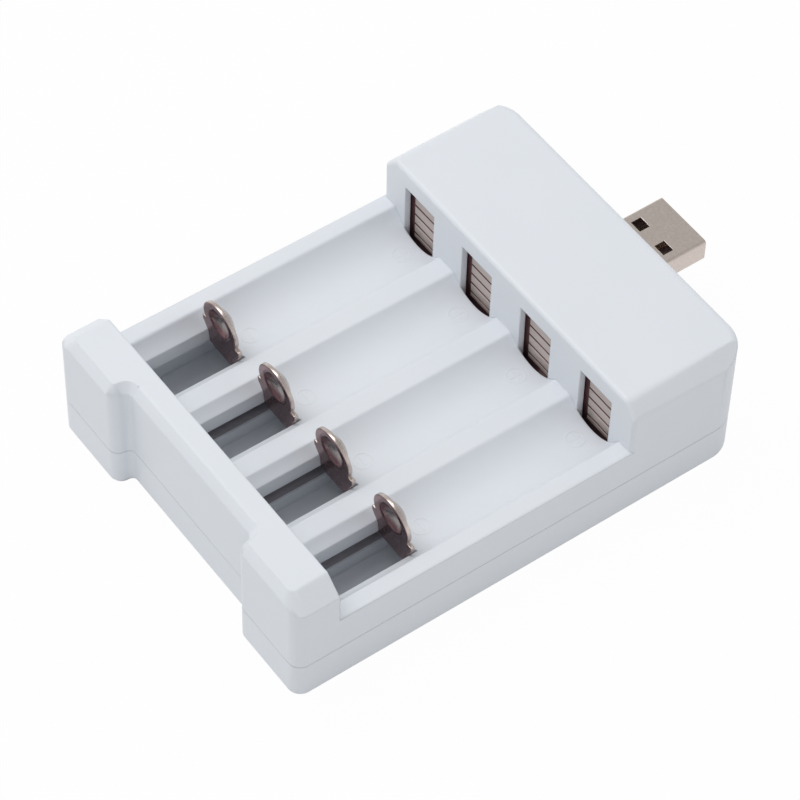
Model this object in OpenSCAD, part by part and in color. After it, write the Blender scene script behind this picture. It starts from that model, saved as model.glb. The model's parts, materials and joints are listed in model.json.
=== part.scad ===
// Four-bay USB charger for AA and AAA cells.
// Millimetres, +Z up, +Y towards the plug, origin on the table below the middle of the overall box.
// Inside the modules y = 0 is the outer face of the end block; placed() moves that to the part's frame.

/* [Case] */
// Width of the case across the bays
case_w = 66.1; // [65:0.1:72]
// Thickness of the outer walls
wall = 1.6; // [1.3:0.1:1.9]
// Height of the seam between the two shells
seam_z = 7.2; // [6.8:0.1:7.5]
// Bevel round the base
base_bevel = 0.2; // [0.2:0.1:0.8]
// Radius of the upright corners at the end block
end_corner_r = 2.3; // [1.8:0.1:3]
// Radius of the upright corners at the tower
tower_corner_r = 5.6; // [4:0.1:6]
// Clearance between pieces that fit into each other
fit_gap = 0.15; // [0.1:0.05:0.2]

/* [End block] */
// Depth of the end block
end_d = 8; // [7.5:0.1:10]
// Height of the end block
end_h = 23.1; // [20:0.1:26]
// Width of the sloped shoulders of the end block
end_shoulder_w = 3.2; // [2:0.1:4]
// Height of the sloped shoulders of the end block
end_shoulder_h = 2.9; // [2.2:0.1:4]
// Depth of the bevel along the outer top edge
edge_bevel_d = 1.2; // [0.6:0.1:1.6]
// Height of the bevel along the outer top edge
edge_bevel_h = 1.8; // [0.8:0.1:2.1]
// Width of the finger recess in the outer face
recess_w = 34.3; // [28:0.1:40]
// Depth of the finger recess
recess_d = 3.1; // [3:0.1:3.5]
// Radius where the recess runs out into the face
recess_lip_r = 1.8; // [1.7:0.1:1.9]
// Radius in the inner corners of the recess
recess_root_r = 1.2; // [0.8:0.1:1.2]

/* [Bays] */
// Length of the bays, from end block to tower
bay_l = 55.5; // [54:0.1:60]
// Distance between the middles of two bays
bay_pitch = 15.6; // [15.2:0.1:15.9]
// Radius of the bays, for AA cells
bay_r = 7.5; // [7.3:0.1:7.7]
// Height of the lowest line of the bays
bay_z = 10.3; // [10:0.1:11]
// Height of the flat ridges between the bays
ridge_z = 13.2; // [12.4:0.1:13.6]
// Height of the side rails
rail_z = 14.3; // [13.7:0.1:15]
// Thickness of the deck under the bays
deck_t = 1.7; // [1.4:0.1:1.8]
// Radius of the shallow groove for AAA cells
groove_r = 5.3; // [5.3:0.1:6]
// Depth of that groove beside the end block
groove_drop = 0.33; // [0.2:0.01:0.5]

/* [Tower] */
// Depth of the tower
tower_d = 23.3; // [22.5:0.1:28]
// Height of the tower
tower_h = 24.8; // [24:0.1:28]
// Thickness of the wall with the windows
front_wall = 1.2; // [1:0.1:1.6]
// Thickness of the roof of the tower
roof_t = 2.2; // [1.8:0.1:2.6]
// Width of the sloped shoulders of the tower
tower_shoulder_w = 2.4; // [1.2:0.1:2.8]
// Height of the sloped shoulders of the tower
tower_shoulder_h = 2.8; // [2:0.1:3.6]
// Radius of the rounded edge along the back of the roof
roof_edge_r = 1.3; // [1:0.1:2.4]
// Width of the windows
window_w = 7.9; // [7:0.1:8.2]
// Height of the top edge of the windows
window_top_z = 21.1; // [19:0.1:22]

/* [Sliding contacts] */
// Width of the slots in the deck
slot_w = 8.3; // [8.3:0.1:9]
// Length of the slots
slot_l = 18.4; // [18:0.1:20]
// Thickness of the contact sheet
slider_t = 0.8; // [0.5:0.1:0.9]
// Lean of the upright towards the end block, in degrees
slider_lean = 4.5; // [0:0.5:9]
// Inner radius of the bend under the deck
bend_r = 0.6; // [0.5:0.1:0.8]
// Width of the shoulders above the bay
shoulder_w = 10.3; // [9:0.1:10.6]
// Height over which the upright widens to its shoulders
shoulder_rise = 2.2; // [1.8:0.1:2.6]
// Height of the shoulders
shoulder_h = 1; // [0.6:0.1:1.4]
// Radius of the round head
head_r = 4.5; // [4.3:0.1:5.1]
// Height of the middle of the head
head_z = 16.7; // [15.6:0.1:17.4]
// Radius of the pressed dish
dish_r = 2.8; // [2.4:0.1:3.2]
// Depth of the pressed dish
dish_d = 1.4; // [0.8:0.1:1.6]
// Height of the middle of the dish above the middle of the head
dish_rise = 0.5; // [0:0.1:0.8]
// Width of the leg under the deck
leg_w = 6.4; // [5:0.1:6.6]
// Length of the leg under the deck
leg_l = 7.5; // [6:0.1:9]
// Running clearance of the sliding contacts
slide_gap = 0.2; // [0.15:0.05:0.3]

/* [Springs] */
// Thickness of the spring wire
wire_d = 0.5; // [0.4:0.05:0.6]
// Middle diameter of the coils
coil_d = 3; // [2.4:0.1:3.6]
// Number of turns
coil_turns = 11; // [8:1:14]
// Middle radius of the end hooks
hook_r = 1.1; // [1:0.05:1.2]
// Width of the hook holes
hook_hole_d = 1.1; // [1:0.05:1.2]

/* [Positive contacts] */
// Width of the contact plates
plate_w = 6.4; // [5:0.1:7]
// Thickness of the contact plates
plate_t = 0.6; // [0.5:0.1:0.8]
// Distance between two grooves of a plate
rib_pitch = 2.2; // [1.5:0.1:2.4]
// Width of the grooves
rib_gap = 0.4; // [0.3:0.05:0.6]

/* [Plug] */
// Width of the plug
plug_w = 12; // [11.8:0.1:12.2]
// Height of the plug
plug_h = 4.5; // [4.4:0.1:4.7]
// Length of the plug that stands out of the case
plug_reach = 13.4; // [12:0.1:16]
// Whole length of the plug's shell
plug_l = 19.6; // [19:0.1:22]
// Height of the plug's middle
plug_z = 12.9; // [12.4:0.1:14]
// Thickness of the plug's sheet
plug_t = 0.3; // [0.25:0.05:0.4]
// Radius of the plug's long outer edges
plug_corner_r = 0.6; // [0.5:0.05:0.9]
// Width of the latch holes, across the plug
latch_w = 2.4; // [2:0.1:2.6]
// Length of the latch holes, along the plug
latch_l = 2; // [1.6:0.1:2.4]
// Distance of the latch holes from the plug's middle
latch_x = 3.1; // [2.6:0.1:3.5]
// Distance of the latch holes from the tip
latch_y = 5.6; // [5:0.1:6.2]
// Thickness of the tongue
tongue_h = 1.85; // [1.8:0.05:2]
// Distance of the tongue's end from the tip
tongue_in = 0.9; // [0.5:0.1:1.5]
// Length of the solid block behind the tongue
plug_block_l = 8.2; // [7.6:0.1:9]

/* [Board] */
// Thickness of the circuit board
board_t = 1; // [0.8:0.1:1.2]
// Width of the circuit board
board_w = 51; // [50.5:0.1:51.5]

/* [Screws] */
// Diameter of the screw shanks
screw_d = 2; // [1.8:0.1:2.2]
// Diameter of the screw heads
screw_head_d = 3.8; // [3.4:0.1:4]
// Length of the screw shanks
screw_l = 9; // [8:0.5:10]

/* [Hidden] */
$fn = 64;
hull_fn = 32;
cut = 1;
skin = 0.01;
min_r = 0.4;
abs_white = "#e3e7ec";
nickel = "#a89c94";
bright_steel = "#c3bcb4";

// Places along the case
case_l = end_d + bay_l + tower_d;
overall_l = case_l + plug_reach;
half_w = case_w / 2;
bay_end = end_d + bay_l;
tower_in = bay_end + front_wall;
bays = 4;
function bay_x(i) = (i - (bays - 1) / 2) * bay_pitch;
deck_z = bay_z - deck_t;
groove_run_out = 3;

// Joint between the shells
lip_t = 0.8;
lip_h = 1;
lip_in = wall + fit_gap + lip_t;
back_wall_extra = 0.2;
back_wall = wall + back_wall_extra;

// Screws and their bosses
boss_d = 5;
column_d = 6.4;
thread_bite = 0.3;
pilot_d = screw_d - thread_bite;
screw_hole_d = screw_d + 2 * fit_gap;
head_hole_d = screw_head_d + 4 * fit_gap;
head_seat_z = 3;
head_t = 1.3;
drive_slot = [2.4, 0.5, 0.7];
end_roof_t = 2.6;
end_screw_in = 6.3;
tower_screw_in = 4.5;
end_screw_y = wall + (boss_d + thread_bite) / 2 + fit_gap;
end_screws = [for (s = [-1, 1]) [s * (half_w - end_screw_in), end_screw_y]];
tower_screws = [for (s = [-1, 1]) [s * (half_w - tower_screw_in), case_l - tower_corner_r]];
screw_places = concat(end_screws, tower_screws);

// Guide ribs of the lower shell, in pairs, and the strip on their saddles
pair_w = 5.6;
rib_t = 0.9;
rib_z = 4.3;
ribs_x = [for (i = [0 : bays - 2]) (bay_x(i) + bay_x(i + 1)) / 2];
bus_t = 0.5;
bus_d = 4.5;
bus_drop = 0.5;
bus_set_back = 6.5;
bus_end = 3;
bus_z = seam_z - bus_drop;
bus_y = bay_end - bus_set_back;
bus_w = bay_pitch * (bays - 1) + 2 * bus_end;
pin_d = 1.6;
pin_out = 0.6;
riser_w = 4;
riser_in = 1.2;

// Sliding contacts
neck_w = slot_w - 2 * slide_gap;
slot_edge_z = bay_z + bay_r - sqrt(bay_r * bay_r - slot_w * slot_w / 4);
leg_z = deck_z - slide_gap;
bend_y = end_d + slot_l - slide_gap;
bend_z = leg_z + bend_r;

// Springs and the tabs that hold them
tab_w = 3.2;
tab_rim = 0.7;
hook_drop = 1.9;
hook_lead = 1.2;
hook_bow = 0.25;
hook_z = leg_z - slider_t - hook_drop;
coil_z = hook_z - hook_r;
tab_z = hook_z - hook_hole_d / 2 - tab_rim;
slider_tab_y = bend_y + leg_l - slider_t / 2;
bus_tab_y = bus_y + bus_t / 2;

// Plug
plug_rear = overall_l - plug_l;
plug_top = plug_z + plug_h / 2;
plug_base = plug_z - plug_h / 2;
tongue_z = plug_base + plug_t;
tongue_corner_r = plug_corner_r - plug_t + fit_gap;
strip_w = 1;
strip_t = 0.2;
strip_room = 0.1;
power_x = 3.5;
data_x = 1;
power_in = 1.6;
data_in = 2.6;
solder_l = 2.4;

// Positive contacts and the board
plate_gap = 0.3;
plate_y = tower_in + plate_gap;
plate_bottom_z = deck_z + plate_gap;
plate_top_z = tower_h - roof_t - plate_gap;
board_z = tongue_z + tongue_h - board_t;
board_top = board_z + board_t;
board_gap = 1;
board_y = plate_y + plate_t + board_gap;
board_d = plug_rear - board_y;
post_d = 4;
post_in = 2.6;
front_post_in = 8.5;
rear_post_in = 4;
post_places = [for (s = [-1, 1]) each [
    [s * (board_w / 2 - front_post_in), board_y + post_in],
    [s * (board_w / 2 - rear_post_in), board_y + board_d - post_in]]];
chip = [5, 4, 1.5];
chip_lift = 0.1;
lead = [0.45, 1, 0.7];
lead_pitch = 1.27;
small_part = [1.25, 2, 0.9];
small_part_x = 6.4;
small_part_pitch = 3.6;

// Moves the bench frame to the part's frame
module placed() {
    translate([0, -overall_l / 2, 0]) children();
}

// Box by its lowest and highest corner
module span(low, high) {
    translate(low) cube(high - low);
}

// Finger recess of the end block, seen from above and grown by inset
module recess_plan(inset) {
    half = recess_w / 2 + inset;
    depth = recess_d + inset;
    root = recess_root_r + inset;
    lip = max(recess_lip_r - inset, min_r);
    translate([-half + root, -cut]) square([2 * (half - root), depth + cut]);
    translate([-half, -cut]) square([2 * half, depth - root + cut]);
    for (s = [-1, 1]) {
        translate([s * (half - root), depth - root]) circle(root);
        difference() {
            translate([s * (half + lip / 2), inset + (lip - cut) / 2])
                square([lip, lip + cut], center = true);
            translate([s * (half + lip), inset + lip]) circle(lip);
        }
    }
}

// Outline of the case seen from above, drawn in by inset
module case_plan(inset = 0) {
    x = half_w - inset;
    end_r = max(end_corner_r - inset, min_r);
    tower_r = tower_corner_r - inset;
    y0 = inset;
    y1 = case_l - inset;
    difference() {
        union() {
            translate([-x, y0 + end_r]) square([2 * x, y1 - y0 - end_r - tower_r]);
            translate([-x + end_r, y0]) square([2 * (x - end_r), case_l / 2]);
            translate([-x + tower_r, case_l / 2]) square([2 * (x - tower_r), y1 - case_l / 2]);
            for (s = [-1, 1]) {
                translate([s * (x - end_r), y0 + end_r]) circle(end_r);
                translate([s * (x - tower_r), y1 - tower_r]) circle(tower_r);
            }
        }
        recess_plan(inset);
    }
}

// One lobe of the end block, with a sloped shoulder and a bevelled outer edge
module end_lobe(side) {
    inner_x = recess_w / 2;
    slope = end_shoulder_w / end_shoulder_h;
    levels = [[seam_z, 0, 0], [end_h - end_shoulder_h, 0, 0],
        [end_h - edge_bevel_h, (end_shoulder_h - edge_bevel_h) * slope, 0],
        [end_h, end_shoulder_w, edge_bevel_d]];
    hull() for (level = levels) {
        in_x = level[1];
        in_y = level[2];
        outer_r = max(end_corner_r - in_y, min_r);
        lip_r = recess_lip_r - in_y;
        translate([0, 0, level[0] - (level[0] > seam_z ? skin : 0)]) {
            translate([side * (half_w - in_x - outer_r), in_y + outer_r, 0])
                cylinder(r = outer_r, h = skin, $fn = hull_fn);
            translate([side * (inner_x + recess_lip_r), recess_lip_r, 0])
                cylinder(r = lip_r, h = skin, $fn = hull_fn);
            for (x = [inner_x + recess_lip_r - lip_r + skin, half_w - in_x])
                translate([side * x - skin / 2 * (1 + side), end_d - skin, 0]) cube([skin, skin, skin]);
        }
    }
}

// Wall of the end block between its lobes, and the rounded corners of the recess
module end_web() {
    reach = recess_w / 2 + recess_lip_r;
    fill = recess_root_r + wall / 4;
    difference() {
        union() {
            translate([-reach, 0, 0]) rotate([90, 0, 90]) linear_extrude(2 * reach) polygon([
                [recess_d, seam_z], [end_d, seam_z], [end_d, end_h],
                [recess_d + edge_bevel_d, end_h], [recess_d, end_h - edge_bevel_h]]);
            for (s = [-1, 1])
                translate([s * (recess_w / 2 - recess_root_r + fill / 2), recess_d - recess_root_r + fill / 2,
                    (seam_z + end_h) / 2])
                    cube([fill, fill, end_h - seam_z], center = true);
        }
        for (s = [-1, 1]) translate([s * (recess_w / 2 - recess_root_r), recess_d - recess_root_r, 0]) {
            cylinder(r = recess_root_r, h = end_h + cut);
            translate([0, 0, end_h - edge_bevel_h])
                cylinder(r1 = recess_root_r, r2 = recess_root_r + edge_bevel_d, h = edge_bevel_h);
        }
    }
}

// Tower, from the seam to its roof, with a sloped shoulder along each side
module tower_block() {
    h = tower_h - seam_z;
    r = tower_corner_r;
    edge_steps = 9;
    profile = [[0, 0], [r, 0],
        for (k = [0 : edge_steps]) let (a = 90 * k / edge_steps)
            [r - roof_edge_r * (1 - cos(a)), h - roof_edge_r * (1 - sin(a))],
        [0, h]];
    slope = [tower_shoulder_w, -tower_shoulder_h];
    low = [half_w, tower_h - tower_shoulder_h] + slope;
    high = [half_w - tower_shoulder_w, tower_h] - slope;
    difference() {
        hull() {
            for (s = [-1, 1]) translate([s * (half_w - r), case_l - r, seam_z])
                rotate_extrude($fn = 2 * hull_fn) polygon(profile);
            span([-half_w, bay_end, seam_z], [half_w, bay_end + skin, tower_h]);
        }
        for (side = [0, 1]) mirror([side, 0, 0]) translate([0, case_l + cut, 0]) rotate([90, 0, 0])
            linear_extrude(tower_d + 2 * cut) polygon([low, [low[0], high[1]], high]);
    }
}

// Bays, grooves, slots and windows, as cut into the deck and the tower; the bays end at the windows
module bay_cuts() {
    span([bay_x(0), end_d, ridge_z], [bay_x(bays - 1), bay_end, rail_z + cut]);
    groove_l = bay_l - groove_run_out;
    groove_tilt = atan(groove_drop / groove_l);
    groove_start = 2 * groove_r * sin(groove_tilt);
    for (i = [0 : bays - 1]) translate([bay_x(i), 0, 0]) {
        translate([0, end_d, bay_z + bay_r]) rotate([-90, 0, 0]) cylinder(r = bay_r, h = bay_l);
        translate([0, end_d + groove_start, bay_z - groove_drop + groove_r]) rotate([groove_tilt - 90, 0, 0])
            cylinder(r = groove_r, h = groove_l - groove_start);
        span([-slot_w / 2, end_d, deck_z - cut], [slot_w / 2, end_d + slot_l, rail_z]);
        span([-window_w / 2, bay_end, deck_z - cut], [window_w / 2, tower_in + cut, window_top_z]);
    }
}

// Hollow of the upper shell, open at the seam
module upper_hollow() {
    translate([0, 0, seam_z - cut]) {
        linear_extrude(deck_z - seam_z + cut) case_plan(wall);
        linear_extrude(end_h - end_roof_t - seam_z + cut) intersection() {
            case_plan(wall);
            translate([-half_w, 0]) square([case_w, end_d - wall]);
        }
        linear_extrude(tower_h - roof_t - seam_z + cut) intersection() {
            case_plan(back_wall);
            translate([-half_w, tower_in]) square([case_w, tower_d]);
        }
    }
}

module upper_shell() {
    color(abs_white) placed() difference() {
        union() {
            difference() {
                union() {
                    for (s = [-1, 1]) end_lobe(s);
                    end_web();
                    span([-half_w, end_d - wall, seam_z], [half_w, bay_end + front_wall / 2, rail_z]);
                    tower_block();
                }
                upper_hollow();
            }
            for (p = end_screws)
                translate([p[0], p[1], seam_z]) cylinder(d = boss_d, h = end_h - end_roof_t / 2 - seam_z);
            for (p = tower_screws)
                translate([p[0], p[1], seam_z]) cylinder(d = boss_d, h = tower_h - roof_t / 2 - seam_z);
        }
        bay_cuts();
        for (p = screw_places)
            translate([p[0], p[1], seam_z - cut]) cylinder(d = pilot_d, h = screw_l + cut);
        span([-plug_w / 2 - fit_gap, plug_rear, plug_base - fit_gap],
            [plug_w / 2 + fit_gap, case_l + cut, plug_top + fit_gap]);
    }
}

// Outside of the lower shell, with a bevel round its base
module base_block() {
    shrink = [for (size = [case_w, case_l]) 1 - 2 * base_bevel / size];
    translate([0, 0, base_bevel]) linear_extrude(seam_z - base_bevel) case_plan();
    translate([0, case_l / 2, base_bevel]) mirror([0, 0, 1])
        linear_extrude(base_bevel, scale = shrink, slices = 1) translate([0, -case_l / 2]) case_plan();
}

module lower_shell() {
    color(abs_white) placed() difference() {
        union() {
            difference() {
                base_block();
                translate([0, 0, wall]) linear_extrude(seam_z) case_plan(lip_in);
            }
            // Lip that enters the upper shell, left out round its screw bosses
            difference() {
                translate([0, 0, seam_z]) linear_extrude(lip_h) difference() {
                    case_plan(wall + fit_gap);
                    case_plan(lip_in);
                }
                for (p = screw_places) translate([p[0], p[1], seam_z - cut])
                    cylinder(d = boss_d + 4 * fit_gap, h = lip_h + 2 * cut);
            }
            for (p = screw_places) translate([p[0], p[1], 0]) cylinder(d = column_d, h = seam_z);
            for (x = ribs_x) translate([x, 0, 0]) {
                for (inner = [-pair_w / 2, pair_w / 2 - rib_t])
                    span([inner, end_d, wall / 2], [inner + rib_t, bus_y, rib_z]);
                span([-pair_w / 2, bus_y - cut, wall / 2], [pair_w / 2, bus_y + bus_d, bus_z]);
                translate([0, bus_y + bus_d / 2, bus_z - cut]) cylinder(d = pin_d, h = bus_t + pin_out + cut);
            }
            for (p = post_places) translate([p[0], p[1], wall / 2]) {
                cylinder(d = post_d, h = board_z - wall / 2);
                cylinder(d = pin_d, h = board_top + pin_out - wall / 2);
            }
        }
        for (p = screw_places) translate([p[0], p[1], -cut]) {
            cylinder(d = screw_hole_d, h = seam_z + 2 * cut);
            cylinder(d = head_hole_d, h = head_seat_z + cut);
        }
    }
}

// Bar along the plug with rounded long edges, drawn in by inset
module plug_bar(inset, r, start, length) {
    x = plug_w / 2 - inset;
    z = plug_h / 2 - inset;
    translate([0, start, plug_z]) rotate([-90, 0, 0]) linear_extrude(length) {
        square([2 * x, 2 * (z - r)], center = true);
        square([2 * (x - r), 2 * z], center = true);
        for (sx = [-1, 1], sz = [-1, 1]) translate([sx * (x - r), sz * (z - r)]) circle(r);
    }
}

module usb_shell() {
    color(bright_steel) placed() difference() {
        plug_bar(0, plug_corner_r, plug_rear, plug_l);
        plug_bar(plug_t, plug_corner_r - plug_t, plug_rear - cut, plug_l + 2 * cut);
        for (s = [-1, 1]) translate([s * latch_x, overall_l - latch_y - latch_l / 2, plug_z])
            cube([latch_w, latch_l, plug_h + cut], center = true);
    }
}

module usb_insulator() {
    half = plug_w / 2 - plug_t;
    color("#23201f") placed() difference() {
        intersection() {
            plug_bar(plug_t, tongue_corner_r, plug_rear, plug_l - tongue_in);
            union() {
                span([-half, plug_rear, tongue_z], [half, overall_l - tongue_in, tongue_z + tongue_h]);
                span([-half, plug_rear, tongue_z], [half, plug_rear + plug_block_l, plug_top - plug_t]);
            }
        }
        for (x = [-power_x, -data_x, data_x, power_x])
            translate([x, plug_rear + plug_block_l / 2, board_top + strip_t])
                cube([strip_w + 2 * strip_room, plug_block_l + cut, 2 * strip_t], center = true);
    }
}

module usb_contacts() {
    strips = [[-power_x, power_in], [-data_x, data_in], [data_x, data_in], [power_x, power_in]];
    color("#c9a24b") placed() for (strip = strips) translate([strip[0], 0, 0])
        span([-strip_w / 2, plug_rear - solder_l, board_top],
            [strip_w / 2, overall_l - strip[1], board_top + strip_t]);
}

module circuit_board() {
    color("#3a2c26") placed() difference() {
        span([-board_w / 2, board_y, board_z], [board_w / 2, plug_rear, board_top]);
        for (p = post_places) translate([p[0], p[1], board_z - cut])
            cylinder(d = pin_d + 2 * fit_gap, h = board_t + 2 * cut);
    }
}

// Small-outline package with four leads along each side
module charge_chip() {
    color("#1d1d1f") placed() translate([0, board_y + board_d / 2, board_top]) {
        translate([-chip[0] / 2, -chip[1] / 2, chip_lift]) cube(chip);
        for (i = [-1.5 : 1.5], s = [-1, 1])
            translate([i * lead_pitch, s * (chip[1] + lead[1]) / 2 - s * chip_lift, lead[2] / 2])
                cube(lead, center = true);
    }
}

module board_parts() {
    color("#9c7a4d") placed() translate([0, board_y + board_d / 2, board_top + small_part[2] / 2])
        for (s = [-1, 1], i = [0 : 2]) translate([s * (small_part_x + small_part_pitch * i), 0, 0])
            cube(small_part, center = true);
}

// Ribbed plate behind a window, with a tab that is soldered to the board
module positive_contact(i) {
    grooves = floor((plate_top_z - plate_bottom_z) / rib_pitch);
    tab_l = board_gap + post_in;
    color(nickel) placed() translate([bay_x(i), plate_y, 0]) {
        difference() {
            span([-plate_w / 2, 0, plate_bottom_z], [plate_w / 2, plate_t, plate_top_z]);
            for (k = [1 : grooves]) translate([0, 0, plate_bottom_z + (k - 0.5) * rib_pitch])
                span([-plate_w / 2 - cut, -cut, -rib_gap / 2], [plate_w / 2 + cut, plate_t / 2, rib_gap / 2]);
        }
        span([-tab_w / 2, plate_t / 2, board_top], [tab_w / 2, plate_t + tab_l, board_top + plate_t]);
    }
}

// Outline of the upright of a sliding contact, from the bend to the top of its head
module upright_plan() {
    rise = 1 / cos(slider_lean);
    waist_v = (slot_edge_z - bend_z) * rise;
    shoulder_v = waist_v + shoulder_rise * rise;
    edge = [[neck_w / 2, 0], [neck_w / 2, waist_v], [shoulder_w / 2, shoulder_v],
        [shoulder_w / 2, shoulder_v + shoulder_h]];
    polygon(concat(edge, [for (k = [3 : -1 : 0]) [-edge[k][0], edge[k][1]]]));
    translate([0, (head_z - bend_z) * rise]) circle(head_r);
}

// Sliding contact: leaning upright with a dished round head, leg below the deck and tab for the spring
module slider_contact(i) {
    dish_v = (head_z - bend_z) / cos(slider_lean) + dish_rise;
    ball_r = (dish_r * dish_r + dish_d * dish_d) / (2 * dish_d);
    outer_r = bend_r + slider_t;
    color(nickel) placed() translate([bay_x(i), bend_y, bend_z]) {
        rotate([slider_lean, 0, 0]) translate([0, -outer_r, 0]) difference() {
            union() {
                translate([0, slider_t, 0]) rotate([90, 0, 0]) linear_extrude(slider_t) upright_plan();
                intersection() {
                    translate([0, dish_d - ball_r, dish_v]) sphere(ball_r + slider_t);
                    span([-head_r, slider_t / 2, 0], [head_r, 2 * ball_r, dish_v + head_r]);
                }
            }
            translate([0, dish_d - ball_r, dish_v]) sphere(ball_r);
        }
        translate([-leg_w / 2, 0, 0]) rotate([90, 0, 90]) linear_extrude(leg_w) intersection() {
            difference() {
                circle(outer_r);
                circle(bend_r);
            }
            polygon([[0, 0], 2 * outer_r * [-cos(slider_lean), -sin(slider_lean)],
                2 * outer_r * [-1, -1], [0, -2 * outer_r]]);
        }
        translate([0, 0, -outer_r]) {
            span([-leg_w / 2, 0, 0], [leg_w / 2, leg_l, slider_t]);
            difference() {
                span([-tab_w / 2, leg_l - slider_t, tab_z - leg_z + slider_t],
                    [tab_w / 2, leg_l, slider_t / 2]);
                translate([0, leg_l + cut, hook_z - leg_z + slider_t]) rotate([90, 0, 0])
                    cylinder(d = hook_hole_d, h = slider_t + 2 * cut);
            }
        }
    }
}

// Unit vector, and a vector freed of its part along t
function unit(v) = v / norm(v);
function square_to(v, t) = unit(v - (v * t) * t);

// Side vectors carried along a path without twist
function carried(tangents, i, side) =
    i == len(tangents) ? [] : concat([square_to(side, tangents[i])],
        carried(tangents, i + 1, square_to(side, tangents[i])));

// Round wire swept along a path
module swept_wire(path, d, sides = 5) {
    last = len(path) - 1;
    tangents = [for (i = [0 : last]) unit(path[min(i + 1, last)] - path[max(i - 1, 0)])];
    side = carried(tangents, 0, [1, 0.01, 0.02]);
    ring = [for (k = [0 : sides - 1]) 360 * k / sides];
    points = [for (i = [0 : last], a = ring)
        path[i] + d / 2 * (cos(a) * side[i] + sin(a) * cross(tangents[i], side[i]))];
    walls = [for (i = [0 : last - 1], k = [0 : sides - 1])
        let (n = (k + 1) % sides, a = i * sides, b = a + sides)
            each [[a + k, b + k, b + n], [a + k, b + n, a + n]]];
    start = [for (k = [0 : sides - 1]) k];
    end = [for (k = [sides - 1 : -1 : 0]) last * sides + k];
    polyhedron(points, concat([start], walls, [end]));
}

// Extension spring between the tab of a slider and the tab of the strip
module slider_spring(i) {
    coil_r = coil_d / 2;
    per_turn = 9;
    y0 = slider_tab_y + hook_r + hook_lead;
    y1 = bus_tab_y - hook_r - hook_lead;
    steps = per_turn * coil_turns;
    hook = [for (a = [200 : -25 : 0]) [0, hook_r * cos(a), hook_r * sin(a)]];
    bow = [0, hook_r + hook_bow, -coil_r / 2];
    first = [for (p = concat(hook, [bow])) [0, slider_tab_y + p[1], p[2]]];
    coil = [for (k = [0 : steps]) let (a = 360 * k / per_turn - 90)
        [coil_r * cos(a), y0 + (y1 - y0) * k / steps, coil_r * sin(a)]];
    second = [for (k = [len(first) - 1 : -1 : 0]) [0, bus_tab_y + slider_tab_y - first[k][1], first[k][2]]];
    color("#8d8a88") placed() translate([bay_x(i), 0, coil_z])
        swept_wire(concat(first, coil, second), wire_d);
}

// Strip on the saddles, with a tab for each spring and a riser to the board
module negative_bus() {
    riser_x = bay_pitch / 2 + riser_in;
    riser_y = board_y + riser_in;
    color(nickel) placed() {
        difference() {
            span([-bus_w / 2, bus_y, bus_z], [bus_w / 2, bus_y + bus_d, bus_z + bus_t]);
            for (x = ribs_x) translate([x, bus_y + bus_d / 2, bus_z - cut])
                cylinder(d = pin_d + 2 * fit_gap, h = bus_t + 2 * cut);
        }
        for (i = [0 : bays - 1]) translate([bay_x(i), bus_y, 0]) difference() {
            span([-tab_w / 2, 0, tab_z], [tab_w / 2, bus_t, bus_z + bus_t / 2]);
            translate([0, bus_t + cut, hook_z]) rotate([90, 0, 0])
                cylinder(d = hook_hole_d, h = bus_t + 2 * cut);
        }
        translate([riser_x - riser_w / 2, 0, 0]) {
            span([0, bus_y + bus_d / 2, bus_z], [riser_w, riser_y + bus_t, bus_z + bus_t]);
            span([0, riser_y, bus_z], [riser_w, riser_y + bus_t, board_z]);
        }
    }
}

// Self-tapping screws with cross-recessed pan heads
module case_screws() {
    color("#7d7f83") placed() for (p = screw_places) translate([p[0], p[1], head_seat_z]) difference() {
        union() {
            translate([0, 0, -head_t]) cylinder(d = screw_head_d, h = head_t);
            cylinder(d = pilot_d, h = screw_l - cut);
        }
        for (a = [0, 90]) rotate(a) translate([0, 0, -head_t]) cube(drive_slot, center = true);
    }
}

upper_shell();
lower_shell();
usb_shell();
usb_insulator();
usb_contacts();
circuit_board();
charge_chip();
board_parts();
positive_contact(0);  // positive_contact_1
positive_contact(1);  // positive_contact_2
positive_contact(2);  // positive_contact_3
positive_contact(3);  // positive_contact_4
slider_contact(0);  // slider_contact_1
slider_contact(1);  // slider_contact_2
slider_contact(2);  // slider_contact_3
slider_contact(3);  // slider_contact_4
slider_spring(0);  // slider_spring_1
slider_spring(1);  // slider_spring_2
slider_spring(2);  // slider_spring_3
slider_spring(3);  // slider_spring_4
negative_bus();
case_screws();
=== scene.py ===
"""Dressed model of a USB charger with four bays for AA and AAA cells."""
import json
import math
from contextlib import contextmanager

import bmesh
import bpy
from mathutils import Matrix, Vector


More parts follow.
